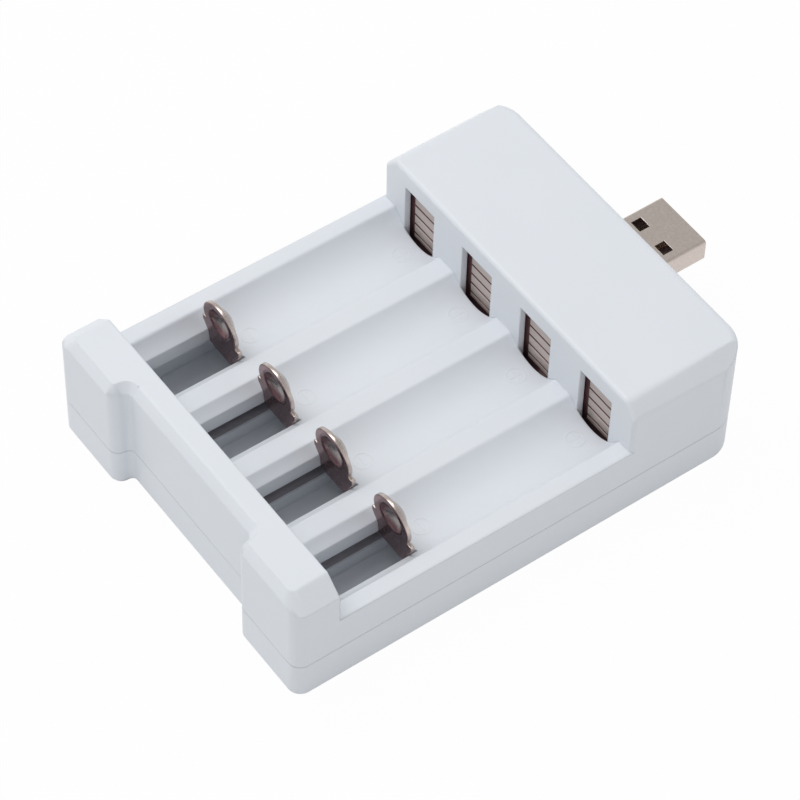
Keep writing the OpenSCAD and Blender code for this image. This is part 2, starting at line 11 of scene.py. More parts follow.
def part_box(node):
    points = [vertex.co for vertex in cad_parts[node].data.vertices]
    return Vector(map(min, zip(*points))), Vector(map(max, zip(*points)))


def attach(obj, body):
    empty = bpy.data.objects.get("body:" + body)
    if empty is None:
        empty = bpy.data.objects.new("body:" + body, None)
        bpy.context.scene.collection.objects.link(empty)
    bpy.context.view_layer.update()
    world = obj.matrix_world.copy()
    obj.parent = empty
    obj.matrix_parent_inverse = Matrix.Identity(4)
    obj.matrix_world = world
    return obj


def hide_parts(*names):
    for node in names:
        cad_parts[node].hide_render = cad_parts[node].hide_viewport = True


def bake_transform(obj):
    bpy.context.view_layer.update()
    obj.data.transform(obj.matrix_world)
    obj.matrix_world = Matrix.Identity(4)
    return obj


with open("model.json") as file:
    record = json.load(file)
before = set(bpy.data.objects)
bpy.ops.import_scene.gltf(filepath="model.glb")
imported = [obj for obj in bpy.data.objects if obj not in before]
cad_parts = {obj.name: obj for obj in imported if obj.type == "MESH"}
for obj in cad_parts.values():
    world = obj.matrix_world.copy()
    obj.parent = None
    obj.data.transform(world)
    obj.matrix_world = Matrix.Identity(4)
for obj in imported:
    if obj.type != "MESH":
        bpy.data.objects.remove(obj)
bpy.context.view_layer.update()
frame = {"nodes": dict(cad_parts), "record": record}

bl_info = {
    "name": "Battery charger",
    "version": (1, 0, 0),
    "blender": (4, 5, 0),
    "location": "3D View > Sidebar > Charger",
    "description": "Dresses the four-bay battery charger for rendering",
    "category": "Object",
}

MM = 0.001
BAYS = range(1, 5)
OPENINGS = {opening["name"]: opening["box_m"] for opening in frame["record"]["physics"]["openings"]}
SEAM_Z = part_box("upper_shell")[0].z
SLOT_CLEAR = 0.2 * MM
BLOCK_Y = OPENINGS["slot_1"][0][1] - SLOT_CLEAR  # inner face of the end block
SOFT_EDGE = 0.4 * MM  # how far the case's edges look rounded
TOUCH = 0.01 * MM  # places this near count as the same place
MERGE = 0.001 * MM  # points this near are merged
FLAT = math.radians(0.5)  # faces that meet at less than this are one face


def linear(code):
    """Linear RGBA of an sRGB hex colour."""
    parts = [int(code[i:i + 2], 16) / 255 for i in (1, 3, 5)]
    return [c / 12.92 if c <= 0.04045 else ((c + 0.055) / 1.055) ** 2.4 for c in parts] + [1.0]


def length(name, description, millimetres):
    """A size in metres, written in millimetres."""
    return bpy.props.FloatProperty(
        name=name, description=description, default=millimetres * MM, precision=6, unit="LENGTH", subtype="DISTANCE")


def colour(name, description, code):
    """A colour, written as sRGB hex."""
    return bpy.props.FloatVectorProperty(
        name=name, description=description, default=linear(code), size=4, min=0, max=1, subtype="COLOR")


def angle(name, description, degrees):
    """An angle in radians, written in degrees."""
    return bpy.props.FloatProperty(
        name=name, description=description, default=math.radians(degrees), unit="ROTATION", subtype="ANGLE")


class CHARGER_PG_sizes(bpy.types.PropertyGroup):
    """Sizes of the finish that the solids leave out."""
    tower_edge: length("Tower edge", "Rounding of the tower's edges", 0.8)
    tower_corner: length("Tower corner", "How far from the tower's back its round corners start", 5.6)
    rail_edge: length("Rail edge", "Rounding of the rails and the ridges", 0.3)
    opening_edge: length("Opening edge", "Rounding of the edges of windows, slots and the plug's hole", 0.1)
    seam_gap: length("Seam gap", "Width of the line between the two shells", 0.02)
    recess_w: length("Recess width", "Width of the recess in the end block", 34.3)
    recess_d: length("Recess depth", "Depth of the recess in the end block", 3.1)
    recess_r: length("Recess radius", "Radius in the inner corners of the recess", 1.2)
    block_h: length("Block height", "Height of the end block", 23.1)
    bevel_in: length("Bevel depth", "How far the end block's bevel runs in", 1.2)
    bevel_down: length("Bevel height", "How far the end block's bevel runs down", 1.8)
    plug_edge: length("Plug edge", "Rounding of the plug's sheet edges", 0.07)
    sheet_edge: length("Sheet edge", "Rounding of the stamped edges of the contacts", 0.16)
    dish_edge: length("Dish edge", "Rounding where the dish is pressed into a sliding contact", 0.4)
    plate_side: length("Plate side", "How far a positive plate's sheet reaches beside its bands", 2.2)
    plate_foot: length("Plate foot", "How far a positive plate's sheet reaches below its bands", 2.6)
    band_edge: length("Band edge", "Rounding of the bands of a positive plate", 0.14)
    small_edge: length("Small edge", "Rounding of the small inner parts", 0.08)
    mark_r: length("Mark radius", "Outer radius of a polarity mark's ring", 1.75)
    mark_line: length("Mark line", "Line width of a polarity mark", 0.34)
    mark_bar: length("Mark bar", "Length of the bars of a polarity mark", 2.0)
    mark_h: length("Mark height", "How far a polarity mark stands out of the bay", 0.03)
    plus_y: length("Plus place", "Place of the plus marks along the bays", 10.0)
    minus_y: length("Minus place", "Place of the minus marks along the bays", -19.9)


class CHARGER_PG_colours(bpy.types.PropertyGroup):
    """Colours of the materials."""
    abs_white: colour("Case white", "White of the moulded case", "#E4E8EE")
    abs_flow: colour("Case flow", "White where the melt flowed last", "#E0E5EB")
    # Painted shade: grey painted into the case white in the deep spring channels.
    channel_shade: colour("Channel shade", "Case white painted grey where shade falls in the spring channels", "#A19EA5")
    nickel: colour("Contact nickel", "Nickel plating of the contacts", "#D8CEC8")
    nickel_dull: colour("Dull nickel", "Nickel plating where it is tarnished", "#B5A8A1")
    # Tarnish brown, partly real tarnish and partly painted dark reflection on the back of the sliding contacts.
    tarnish_and_dark_reflection: colour("Tarnish", "Nickel plating where it is tarnished brown, darkened as painted dark reflection", "#866769")
    plate: colour("Plate nickel", "Matt plating of the positive plates", "#C8BCB6")
    # Painted light: the bands' colour low down, paler where they lie in shade.
    plate_painted_light: colour("Plate painted light", "Plating of the positive plates, painted paler low down", "#F2E6DF")
    # Painted shade: brown in the grooves and on the sheet behind the bands.
    groove_shade: colour("Plate grooves", "Painted shade in the grooves and on the sheet of the positive plates", "#7D5A5D")
    plug_steel: colour("Plug steel", "Plating of the plug's sleeve", "#D5CBC4")
    plug_dull: colour("Dull plug steel", "Plating of the sleeve where it is rubbed dull", "#C3B7AF")
    tongue: colour("Plug plastic", "Plastic of the plug's tongue", "#654E4C")
    tongue_fill: colour("Plug filler", "Plastic of the tongue where its filler lies close", "#543F3E")
    gold: colour("Gold", "Plating of the plug's strips", "#A88662")
    wire: colour("Wire", "Drawn spring wire", "#A9A6A4")
    zinc: colour("Zinc", "Zinc plating of the screws", "#8E9298")
    mask: colour("Solder mask", "Brown mask of the circuit board", "#7A5549")
    track: colour("Board track", "Mask where a copper track lies under it", "#8C6A58")
    epoxy: colour("Chip body", "Moulding of the chip", "#1B1B1D")
    tin: colour("Tin", "Tinned leads and end caps", "#C4C5C6")
    ceramic: colour("Ceramic", "Body of the chip capacitors", "#9A7346")


class CHARGER_PG_stage(bpy.types.PropertyGroup):
    """Camera, floor and light."""
    azimuth: angle("Azimuth", "Direction of the camera round the object", 52.951)
    elevation: angle("Elevation", "Height of the camera above the table, as an angle", 51.344)
    roll: angle("Roll", "Turn of the camera about its line of sight", 1.685)
    place: bpy.props.FloatVectorProperty(
        name="Camera place", description="Where the camera stands", size=3,
        default=(289.373 * MM, -225.536 * MM, 461.722 * MM), unit="LENGTH", subtype="XYZ")
    focal_px: bpy.props.FloatProperty(
        name="Focal length", description="Focal length in pixels of the picture", default=3637.1)
    picture_px: bpy.props.FloatProperty(
        name="Picture size", description="Width and height of the picture in pixels", default=800)
    floor_size: length("Floor size", "Width and depth of the floor", 8000)
    floor_white: colour("Floor white", "Colour of the floor", "#E2E3E4")
    floor_glow: bpy.props.FloatProperty(
        name="Floor glow", description="Part of the floor's white that no shadow darkens", default=0.97,
        subtype="FACTOR")
    softbox_place: bpy.props.FloatVectorProperty(
        name="Softbox place", description="Where the lamp hangs", size=3,
        default=(-320 * MM, -150 * MM, 760 * MM), unit="LENGTH", subtype="XYZ")
    softbox_size: length("Softbox size", "Width of the lamp above the object", 560)
    softbox_w: bpy.props.FloatProperty(
        name="Softbox power", description="Power of the lamp above the object in watts", default=2.9, unit="POWER")
    horizon: bpy.props.FloatProperty(
        name="Horizon light", description="Light of the room at eye level", default=0.86)
    zenith: bpy.props.FloatProperty(
        name="Ceiling light", description="Light of the room from straight above", default=0.5)


def add_node(tree, kind, inputs=None, **settings):
    """Add a node with its settings; an input is either a value to set or a socket to link."""
    node = tree.nodes.new(kind)
    for name, value in settings.items():
        setattr(node, name, value)
    for name, value in (inputs or {}).items():
        if isinstance(value, bpy.types.NodeSocket):
            tree.links.new(value, node.inputs[name])
        else:
            node.inputs[name].default_value = value
    return node


def finish_of(make):
    """The material that a function makes, made once and named for it."""
    found = bpy.data.materials.get(make.__name__)
    if found:
        return found
    material = bpy.data.materials.new(make.__name__)
    material.use_nodes = True
    material.node_tree.nodes.clear()
    make(material.node_tree, bpy.context.scene.charger_colours)
    return material


def grained_abs(tree, white, flow_white, soft_edge):
    """Spark-eroded ABS; the real grain is about 0.05 mm, and is drawn at 0.25 mm so that it shows."""
    place = add_node(tree, "ShaderNodeTexCoord").outputs["Object"]
    grain = add_node(tree, "ShaderNodeTexNoise", {"Vector": place, "Scale": 1 / (0.25 * MM), "Detail": 2.0})
    flow = add_node(tree, "ShaderNodeTexNoise", {"Vector": place, "Scale": 1 / (14 * MM), "Detail": 1.0})
    tint = add_node(tree, "ShaderNodeMix", {
        0: flow.outputs["Fac"], 6: white, 7: flow_white}, data_type="RGBA")
    satin = add_node(tree, "ShaderNodeMapRange", {"Value": grain.outputs["Fac"], "To Min": 0.40, "To Max": 0.52})
    edges = add_node(tree, "ShaderNodeBevel", {"Radius": soft_edge}, samples=4)
    relief = add_node(tree, "ShaderNodeBump", {
        "Height": grain.outputs["Fac"], "Strength": 0.12, "Distance": 0.02 * MM, "Normal": edges.outputs["Normal"]})
    shader = add_node(tree, "ShaderNodeBsdfPrincipled", {
        "Base Color": tint.outputs[2], "Roughness": satin.outputs["Result"], "IOR": 1.54,
        "Normal": relief.outputs["Normal"]})
    add_node(tree, "ShaderNodeOutputMaterial", {"Surface": shader.outputs["BSDF"]})


def moulded_white_abs(tree, colours):
    # Injection-moulded ABS: milky cool white, with a spark-eroded grain that spreads the highlights.
    grained_abs(tree, colours.abs_white, colours.abs_flow, SOFT_EDGE)


def fine_white_abs(tree, colours):
    # The same ABS in the fine raised marks, with edges as small as they are.
    grained_abs(tree, colours.abs_white, colours.abs_flow, 0.01 * MM)


def channel_shaded_white_abs(tree, colours):
    # The same ABS in the lower shell: the channels between its guide ribs are painted grey, as painted shade where
    # little light reaches.
    pitch = OPENINGS["bay_2"][0][0] - OPENINGS["bay_1"][0][0]
    channel_w, channel_end, channel_floor, rib_top = 5 * MM, 7 * MM, 1.5 * MM, 4.4 * MM
    outermost = 1.3 * pitch
    place = add_node(tree, "ShaderNodeTexCoord").outputs["Object"]
    parts = add_node(tree, "ShaderNodeSeparateXYZ", {"Vector": place})
    aside = add_node(tree, "ShaderNodeMath", {0: parts.outputs["X"], 1: pitch / 2}, operation="PINGPONG")
    between = add_node(tree, "ShaderNodeMath", {0: aside.outputs[0], 1: channel_w / 2}, operation="LESS_THAN")
    deep = add_node(tree, "ShaderNodeMath", {
        0: parts.outputs["Z"], 1: (channel_floor + rib_top) / 2, 2: (rib_top - channel_floor) / 2},
        operation="COMPARE")
    inside = add_node(tree, "ShaderNodeMath", {0: parts.outputs["X"], 1: 0.0, 2: outermost}, operation="COMPARE")
    along = add_node(tree, "ShaderNodeMath", {
        0: parts.outputs["Y"], 1: (BLOCK_Y + channel_end) / 2, 2: (channel_end - BLOCK_Y) / 2},
        operation="COMPARE")
    channel = add_node(tree, "ShaderNodeMath", {0: between.outputs[0], 1: deep.outputs[0]}, operation="MULTIPLY")
    within = add_node(tree, "ShaderNodeMath", {0: inside.outputs[0], 1: along.outputs[0]}, operation="MULTIPLY")
    # Painted shade: the channels between the guide ribs, below the rib tops, are painted grey.
    painted_channel_shade = add_node(tree, "ShaderNodeMath", {0: channel.outputs[0], 1: within.outputs[0]}, operation="MULTIPLY")
    whites = [
        add_node(tree, "ShaderNodeMix", {0: painted_channel_shade.outputs[0], 6: white, 7: colours.channel_shade},
                 data_type="RGBA").outputs[2] for white in (colours.abs_white, colours.abs_flow)]
    grained_abs(tree, *whites, SOFT_EDGE)


def plated_metal(tree, bright, dull, cloud, scratch, stretch, rough, metallic=1.0):
    """Plated sheet: cloudy patches of dull plating, and fine scratches drawn out along one axis."""
    place = add_node(tree, "ShaderNodeTexCoord").outputs["Object"]
    patches = add_node(tree, "ShaderNodeTexNoise", {"Vector": place, "Scale": 1 / cloud, "Detail": 3.0})
    drawn = add_node(tree, "ShaderNodeMapping", {"Vector": place, "Scale": stretch})
    lines = add_node(tree, "ShaderNodeTexNoise", {
        "Vector": drawn.outputs["Vector"], "Scale": 1 / scratch, "Detail": 2.0})
    tint = add_node(tree, "ShaderNodeMix", {
        0: patches.outputs["Fac"], 6: bright, 7: dull}, data_type="RGBA")
    sheen = add_node(tree, "ShaderNodeMapRange", {
        "Value": lines.outputs["Fac"], "From Min": 0.3, "From Max": 0.7, "To Min": rough[0], "To Max": rough[1]})
    relief = add_node(tree, "ShaderNodeBump", {
        "Height": lines.outputs["Fac"], "Strength": 0.06, "Distance": 0.01 * MM})
    shader = add_node(tree, "ShaderNodeBsdfPrincipled", {
        "Base Color": tint.outputs[2], "Metallic": metallic, "Roughness": sheen.outputs["Result"],
        "Normal": relief.outputs["Normal"]})
    add_node(tree, "ShaderNodeOutputMaterial", {"Surface": shader.outputs["BSDF"]})


def stamped_nickel(tree, colours):
    # Nickel-plated steel strip, stamped and handled: warm grey with dull clouds and cross scratches.
    plated_metal(tree, colours.nickel, colours.nickel_dull, 2.5 * MM, 0.12 * MM, (1, 1, 0.2), (0.16, 0.26))


def tarnish_and_painted_light_nickel(tree, colours):
    # Nickel-plated strip in use: brown with tarnish behind, darkened further as a painted dark reflection, and rubbed
    # bright where the cells touch it; painted highlights at the rim and along a band low in the dish.
    lean, sheet_t, dish_r, dish_z = math.radians(4.5), 0.8 * MM, 2.8 * MM, 17.2 * MM
    paint_start, paint_end, rim_r = 0.03 * MM, 0.14 * MM, 1.1 * dish_r
    band_drop, band_in, band_out = 0.3 * dish_r, 0.3 * dish_r, 0.55 * dish_r
    low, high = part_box("slider_contact_1")
    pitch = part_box("slider_contact_2")[0].x - low.x
    inwards = Vector((0, math.cos(lean), math.sin(lean)))
    back = inwards.dot(Vector((0, low.y, high.z - sheet_t * math.sin(lean))))
    coordinates = add_node(tree, "ShaderNodeTexCoord")
    place = coordinates.outputs["Object"]
    parts = add_node(tree, "ShaderNodeSeparateXYZ", {"Vector": place})
    from_first = add_node(tree, "ShaderNodeMath", {
        0: parts.outputs["X"], 1: (low.x + high.x) / 2}, operation="SUBTRACT")
    aside = add_node(tree, "ShaderNodeMath", {0: from_first.outputs[0], 1: pitch / 2}, operation="PINGPONG")
    above = add_node(tree, "ShaderNodeMath", {0: parts.outputs["Z"], 1: dish_z}, operation="SUBTRACT")
    across = add_node(tree, "ShaderNodeCombineXYZ", {"X": aside.outputs[0], "Y": above.outputs[0]})
    radius = add_node(tree, "ShaderNodeVectorMath", {0: across.outputs["Vector"]}, operation="LENGTH")
    # Painted highlight: a band low in the dish, where its wall faces up, is painted bright.
    band = add_node(tree, "ShaderNodeMapping", {
        "Vector": across.outputs["Vector"], "Location": (0, band_drop, 0), "Scale": (0.6, 1, 1)})
    off_band = add_node(tree, "ShaderNodeVectorMath", {0: band.outputs["Vector"]}, operation="LENGTH")
    dish_highlight = add_node(tree, "ShaderNodeMapRange", {
        "Value": off_band.outputs["Value"], "From Min": band_out, "From Max": band_in})
    depth = add_node(tree, "ShaderNodeVectorMath", {0: place, 1: inwards}, operation="DOT_PRODUCT")
    off_back = add_node(tree, "ShaderNodeMapRange", {
        "Value": depth.outputs["Value"], "From Min": back + paint_start, "From Max": back + paint_end})
    off_dish = add_node(tree, "ShaderNodeMath", {
        0: radius.outputs["Value"], 1: rim_r}, operation="GREATER_THAN")
    # Painted highlight: the rim, past the back face and outside the dish, is painted bright.
    rim_highlight = add_node(tree, "ShaderNodeMath", {
        0: off_back.outputs["Result"], 1: off_dish.outputs[0]}, operation="MULTIPLY")
    painted_light = add_node(tree, "ShaderNodeMath", {
        0: rim_highlight.outputs[0], 1: dish_highlight.outputs["Result"]}, operation="MAXIMUM")
    facing = add_node(tree, "ShaderNodeVectorMath", {
        0: coordinates.outputs["Normal"], 1: inwards}, operation="DOT_PRODUCT")
    to_cell = add_node(tree, "ShaderNodeMapRange", {
        "Value": facing.outputs["Value"], "From Min": 0.3, "From Max": 0.7})
    wear_and_highlight = add_node(tree, "ShaderNodeMath", {
        0: painted_light.outputs[0], 1: to_cell.outputs["Result"]}, operation="MAXIMUM")
    platings = [
        add_node(tree, "ShaderNodeMix", {0: wear_and_highlight.outputs[0], 6: colours.tarnish_and_dark_reflection, 7: bright},
                 data_type="RGBA").outputs[2] for bright in (colours.nickel, colours.nickel_dull)]
    plated_metal(tree, *platings, 2.5 * MM, 0.12 * MM, (1, 1, 0.2), (0.2, 0.3))


def matt_nickel(tree, colours):
    # Nickel plate worn matt by the cells: pale warm bands, painted paler low down as painted light, with brown painted
    # shade in the grooves and on the sheet behind.
    low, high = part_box("positive_contact_1")
    paint_start, paint_end = 0.02 * MM, 0.1 * MM
    place = add_node(tree, "ShaderNodeTexCoord").outputs["Object"]
    parts = add_node(tree, "ShaderNodeSeparateXYZ", {"Vector": place})
    # Painted light: the bands are painted paler towards the bottom, where they lie deep in the window.
    painted_light = add_node(tree, "ShaderNodeMapRange", {
        "Value": parts.outputs["Z"], "From Min": (low.z + high.z) / 2, "From Max": low.z})
    bands = add_node(tree, "ShaderNodeMix", {
        0: painted_light.outputs["Result"], 6: colours.plate, 7: colours.plate_painted_light}, data_type="RGBA")
    # Painted shade: everything behind the bands' front, the grooves and the sheet, is painted brown.
    painted_groove_shade = add_node(tree, "ShaderNodeMapRange", {
        "Value": parts.outputs["Y"], "From Min": low.y + paint_start, "From Max": low.y + paint_end})
    platings = [
        add_node(tree, "ShaderNodeMix", {0: painted_groove_shade.outputs["Result"], 6: bright, 7: colours.groove_shade},
                 data_type="RGBA").outputs[2] for bright in (colours.plate, bands.outputs[2])]
    plated_metal(tree, *platings, 1.5 * MM, 0.12 * MM, (0.2, 1, 1), (0.42, 0.52), 0.3)


def rolled_plug_steel(tree, colours):
    # Nickel-plated steel sheet, rolled along the plug: even warm grey with a fine lengthwise speckle.
    plated_metal(tree, colours.plug_steel, colours.plug_dull, 0.6 * MM, 0.1 * MM, (1, 0.35, 1), (0.24, 0.34))


def drawn_spring_wire(tree, colours):
    # Drawn spring steel: bright grey wire with faint drawing lines round the coil.
    plated_metal(tree, colours.wire, colours.nickel_dull, 0.8 * MM, 0.06 * MM, (1, 4, 1), (0.25, 0.4))


def zinc_plated_steel(tree, colours):
    # Zinc-plated steel screws: cool grey, slightly cloudy and satin.
    plated_metal(tree, colours.zinc, colours.tin, 0.7 * MM, 0.1 * MM, (1, 1, 1), (0.3, 0.45))


def gold_plated_strip(tree, colours):
    # Gold flash over nickel: dull yellow strips with fine lengthwise wear.
    plated_metal(tree, colours.gold, colours.nickel, 1.5 * MM, 0.08 * MM, (1, 0.1, 1), (0.2, 0.32))


def moulded_plug_plastic(tree, colours):
    # Glass-filled plastic of the plug's tongue: satin brown, with a faint mottling of the filler.
    place = add_node(tree, "ShaderNodeTexCoord").outputs["Object"]
    filler = add_node(tree, "ShaderNodeTexNoise", {"Vector": place, "Scale": 1 / (0.2 * MM), "Detail": 2.0})
    tint = add_node(tree, "ShaderNodeMix", {
        0: filler.outputs["Fac"], 6: colours.tongue, 7: colours.tongue_fill}, data_type="RGBA")
    satin = add_node(tree, "ShaderNodeMapRange", {"Value": filler.outputs["Fac"], "To Min": 0.4, "To Max": 0.55})
    shader = add_node(tree, "ShaderNodeBsdfPrincipled", {
        "Base Color": tint.outputs[2], "Roughness": satin.outputs["Result"], "IOR": 1.58})
    add_node(tree, "ShaderNodeOutputMaterial", {"Surface": shader.outputs["BSDF"]})


def masked_laminate(tree, colours):
    # Laminate under brown solder mask: copper tracks 1.2 mm wide show through as lighter lines.
    place = add_node(tree, "ShaderNodeTexCoord").outputs["Object"]
    weave = add_node(tree, "ShaderNodeTexNoise", {"Vector": place, "Scale": 1 / (0.4 * MM), "Detail": 2.0})
    tracks = add_node(tree, "ShaderNodeTexBrick", {
        "Vector": place, "Color1": colours.mask, "Color2": colours.mask, "Mortar": colours.track,
        "Scale": 1 / (10 * MM), "Mortar Size": 0.06, "Mortar Smooth": 0.1}, offset=0.35)
    relief = add_node(tree, "ShaderNodeBump", {
        "Height": weave.outputs["Fac"], "Strength": 0.1, "Distance": 0.02 * MM})
    shader = add_node(tree, "ShaderNodeBsdfPrincipled", {
        "Base Color": tracks.outputs["Color"], "Roughness": 0.6, "IOR": 1.55, "Normal": relief.outputs["Normal"]})
    add_node(tree, "ShaderNodeOutputMaterial", {"Surface": shader.outputs["BSDF"]})


def tinned_ends(tree, body, tin, axis, near, far):
    """A moulded body with tinned metal beyond a distance from its middle, measured along one axis."""
    place = add_node(tree, "ShaderNodeTexCoord").outputs["Object"]
    grit = add_node(tree, "ShaderNodeTexNoise", {"Vector": place, "Scale": 1 / (0.12 * MM), "Detail": 2.0})
    parts = add_node(tree, "ShaderNodeSeparateXYZ", {"Vector": place})
    middle = (near + far) / 2
    out = add_node(tree, "ShaderNodeMath", {0: parts.outputs[axis], 1: middle}, operation="SUBTRACT")
    away = add_node(tree, "ShaderNodeMath", {0: out.outputs[0]}, operation="ABSOLUTE")
    metal = add_node(tree, "ShaderNodeMath", {0: away.outputs[0], 1: (far - near) / 2}, operation="GREATER_THAN")
    tint = add_node(tree, "ShaderNodeMix", {0: metal.outputs[0], 6: body, 7: tin}, data_type="RGBA")
    satin = add_node(tree, "ShaderNodeMapRange", {"Value": grit.outputs["Fac"], "To Min": 0.35, "To Max": 0.6})
    shader = add_node(tree, "ShaderNodeBsdfPrincipled", {
        "Base Color": tint.outputs[2], "Metallic": metal.outputs[0], "Roughness": satin.outputs["Result"]})
    add_node(tree, "ShaderNodeOutputMaterial", {"Surface": shader.outputs["BSDF"]})


def epoxy_chip(tree, colours):
    # Transfer-moulded epoxy: dull black body with tinned leads along both sides.
    low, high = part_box("charge_chip")
    lead_l = 0.9 * MM
    tinned_ends(tree, colours.epoxy, colours.tin, "Y", low.y + lead_l, high.y - lead_l)


def ceramic_capacitor(tree, colours):
    # Fired ceramic chip capacitors: tan bodies with tinned end caps.
    low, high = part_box("board_parts")
    cap_l = 0.4 * MM
    tinned_ends(tree, colours.ceramic, colours.tin, "Y", low.y + cap_l, high.y - cap_l)


def choose(piece):
    """Make a piece the only selected and active object."""
    bpy.ops.object.select_all(action="DESELECT")
    piece.select_set(True)
    bpy.context.view_layer.objects.active = piece


@contextmanager
def editing(piece, action="SELECT"):
    """Edit mode on one piece, with all of its mesh selected or deselected."""
    choose(piece)
    bpy.ops.object.mode_set(mode="EDIT")
    bpy.ops.mesh.select_all(action=action)
    yield
    bpy.ops.object.mode_set(mode="OBJECT")


def apply_modifier(piece, kind, **settings):
    """Add a modifier to a piece and apply it."""
    choose(piece)
    modifier = piece.modifiers.new(kind.lower(), kind)
    for name, value in settings.items():
        setattr(modifier, name, value)
    bpy.ops.object.modifier_apply(modifier=modifier.name)


def context_piece(name):
    """The object that an operator has just added, renamed, with its place put into its mesh."""
    piece = bpy.context.active_object
    piece.name = name
    bpy.ops.object.transform_apply(location=True, rotation=True, scale=True)
    return piece


def clean_up(piece):
    """Merge a piece's points that lie together, and take out what has no length or area."""
    with editing(piece):
        bpy.ops.mesh.remove_doubles(threshold=MERGE)
        bpy.ops.mesh.dissolve_degenerate(threshold=MERGE)


def merged_copy(node, name):
    """A copy of a CAD node, with its loose triangles merged into one closed skin of whole faces."""
    piece = bpy.data.objects.new(name, frame["nodes"][node].data.copy())
    bpy.context.scene.collection.objects.link(piece)
    choose(piece)
    bpy.ops.mesh.customdata_custom_splitnormals_clear()
    with editing(piece):
        bpy.ops.mesh.remove_doubles(threshold=MERGE)
        bpy.ops.mesh.dissolve_limited(angle_limit=FLAT)
    return piece


def smooth(piece):
    """Shade a piece's round faces smooth, and keep its flat faces flat."""
    choose(piece)
    bpy.ops.object.shade_smooth_by_angle(angle=math.radians(40))
    apply_modifier(piece, "WEIGHTED_NORMAL", keep_sharp=True)


def round_edges(piece, width, share=None, segments=3, sharp=30):
    """Round a piece's sharp edges; share gives the part of the width that an edge gets, from the edge itself."""
    mesh = bmesh.new()
    mesh.from_mesh(piece.data)
    if any(not edge.is_manifold for edge in mesh.edges):
        raise RuntimeError(f"{piece.name} isn't closed")
    weight = mesh.edges.layers.float.new("bevel_weight_edge")
    for edge in mesh.edges:
        if edge.calc_face_angle() > math.radians(sharp):
            edge[weight] = share(edge) if share else 1.0
    mesh.to_mesh(piece.data)
    mesh.free()
    apply_modifier(piece, "BEVEL", width=width, segments=segments, limit_method="WEIGHT", use_clamp_overlap=False)
    clean_up(piece)
    smooth(piece)


def seat(piece, material, slot, body, *nodes):
    """Give a piece its material, and let it ride on a body in place of CAD nodes; the slot argument is not used."""
    piece.data.materials.clear()
    piece.data.materials.append(material)
    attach(piece, body)
    if nodes:
        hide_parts(*nodes)


def middle_of(edge):
    """Midpoint of an edge."""
    return (edge.verts[0].co + edge.verts[1].co) / 2


def near_box(place, box, margin):
    """Whether a place lies in a box or within a margin of it."""
    return all(low - margin < at < high + margin for at, low, high in zip(place, *box))


class CHARGER_OT_shells(bpy.types.Operator):
    """Model the two moulded shells of the case"""
    bl_idname = "charger.shells"
    bl_label = "Case shells"

    def fill_corner(self, upper, side, sizes):
        """Fill a top corner of the recess, where the bevels meet, so that it runs out as a round hollow."""
        stand, past, round_points = 0.02 * MM, 0.1 * MM, 96
        slope = sizes.bevel_in / sizes.bevel_down
        front_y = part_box("upper_shell")[0].y
        middle = Vector((
            side * (sizes.recess_w / 2 - sizes.recess_r), front_y + sizes.recess_d - sizes.recess_r,
            sizes.block_h - sizes.bevel_down))
        reach = sizes.recess_r + sizes.bevel_in
        size = Vector((reach, reach, sizes.bevel_down))
        centre = middle + Vector((side * reach, reach, sizes.bevel_down)) / 2
        bpy.ops.object.select_all(action="DESELECT")
        bpy.ops.mesh.primitive_cube_add(size=1, location=centre, scale=size)
        filling = context_piece("recess_filling")
        bpy.ops.object.select_all(action="DESELECT")
        bpy.ops.mesh.primitive_cone_add(
            vertices=round_points, radius1=sizes.recess_r - stand - past * slope, radius2=reach - stand + past * slope,
            depth=sizes.bevel_down + 2 * past, location=middle + Vector((0, 0, sizes.bevel_down / 2)))
        hollow = context_piece("recess_hollow")
        apply_modifier(filling, "BOOLEAN", operation="DIFFERENCE", object=hollow, solver="EXACT")
        apply_modifier(upper, "BOOLEAN", operation="UNION", object=filling, solver="EXACT")
        for tool in (hollow, filling):
            bpy.data.objects.remove(tool)

    def execute(self, context):
        sizes = context.scene.charger_sizes
        openings = [OPENINGS[f"{kind}_{bay}"] for bay in BAYS for kind in ("slot", "window")] + [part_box("usb_shell")]
        opening_margin, long_edge, plate_depth = 1.5 * MM, 2 * MM, 2 * MM
        level, straight = 0.2, 0.99
        tower_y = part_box("positive_contact_1")[0].y - plate_depth
        tower_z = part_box("usb_shell")[1].z
        corner_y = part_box("upper_shell")[1].y - sizes.tower_corner
        bevel_z = sizes.block_h - sizes.bevel_down

        def upper_share(edge):
            """Part of the tower's rounding that an edge of the upper shell gets."""
            place = middle_of(edge)
            by_opening = any(near_box(place, box, opening_margin) for box in openings)
            if not edge.is_convex or place.z < SEAM_Z + TOUCH:
                width = 0
            elif place.y < BLOCK_Y - TOUCH:
                on_bevel = edge.calc_length() > long_edge and place.z > bevel_z - TOUCH
                width = sizes.rail_edge if on_bevel else 0
            elif place.y > tower_y:
                at_front = place.z > tower_z and place.y < corner_y
                width = sizes.opening_edge if by_opening else sizes.tower_edge if at_front else 0
            elif max(face.normal.z for face in edge.link_faces) < level:
                width = 0
            elif place.y < BLOCK_Y + TOUCH:
                width = sizes.opening_edge
            else:
                lengthwise = abs((edge.verts[1].co - edge.verts[0].co).normalized().y) > straight
                width = 0 if not lengthwise else sizes.opening_edge if by_opening else sizes.rail_edge
            return width / sizes.tower_edge

        upper = merged_copy("upper_shell", "upper_case")
        for side in (-1, 1):
            self.fill_corner(upper, side, sizes)
        clean_up(upper)
        round_edges(upper, sizes.tower_edge, upper_share)
        lower = merged_copy("lower_shell", "lower_case")
        smooth(lower)
        for piece, way, make, node in (
                (upper, 1, moulded_white_abs, "upper_shell"), (lower, -1, channel_shaded_white_abs, "lower_shell")):
            for vertex in piece.data.vertices:
                if abs(vertex.co.z - SEAM_Z) < TOUCH:
                    vertex.co.z += way * sizes.seam_gap / 2
            seat(piece, finish_of(make), "case_abs", "case", node)
        return {"FINISHED"}


